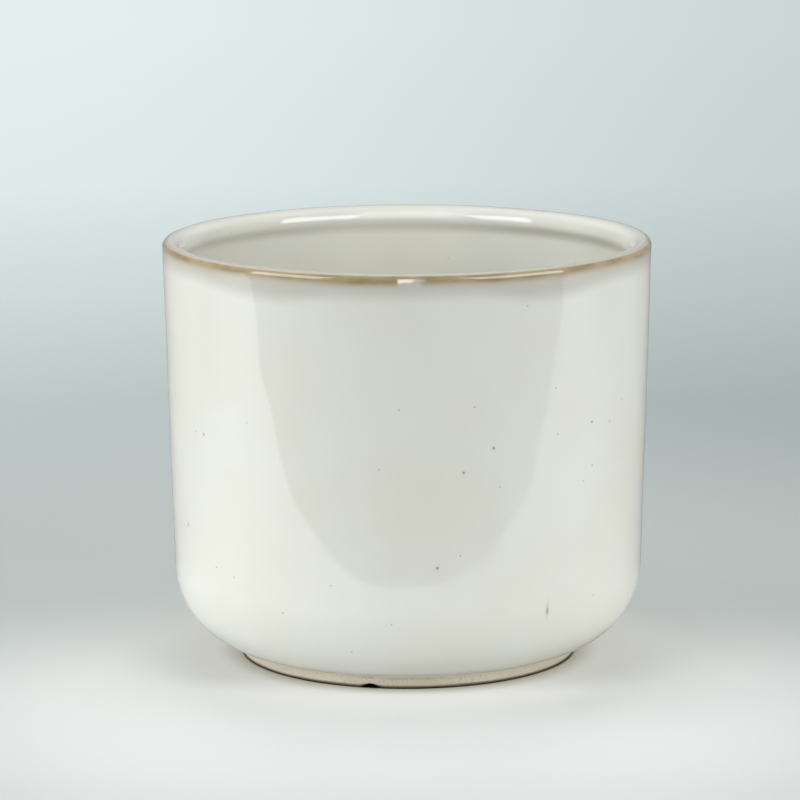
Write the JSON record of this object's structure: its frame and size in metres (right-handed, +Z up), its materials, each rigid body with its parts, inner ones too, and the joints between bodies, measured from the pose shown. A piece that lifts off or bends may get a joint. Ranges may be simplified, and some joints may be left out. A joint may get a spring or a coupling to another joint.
{
  "type": "cachepot",
  "caption": "Round glazed stoneware cachepot with a rounded heel, a low bare foot ring and an ochre-edged lip, to stand a nursery pot in.",
  "frame": {"origin": "middle of the foot ring, on the surface that the pot stands on", "axes": "+Z up along the pot's axis, -Y towards the front, +X to the right seen from the front"},
  "size_m": [0.1509, 0.151, 0.13],
  "materials": {
    "stoneware": "bare fired buff stoneware, matt and slightly sandy",
    "white_glaze": "glossy warm white glaze with a few small iron specks",
    "ochre_glaze": "glossy ochre-brown glaze, thin over the edge of the lip"
  },
  "bodies": {
    "root": {"stoneware_body": "stoneware", "outer_glaze": "white_glaze", "inner_glaze": "white_glaze", "base_glaze": "white_glaze", "rim_glaze": "ochre_glaze"}
  },
  "joints": []
}
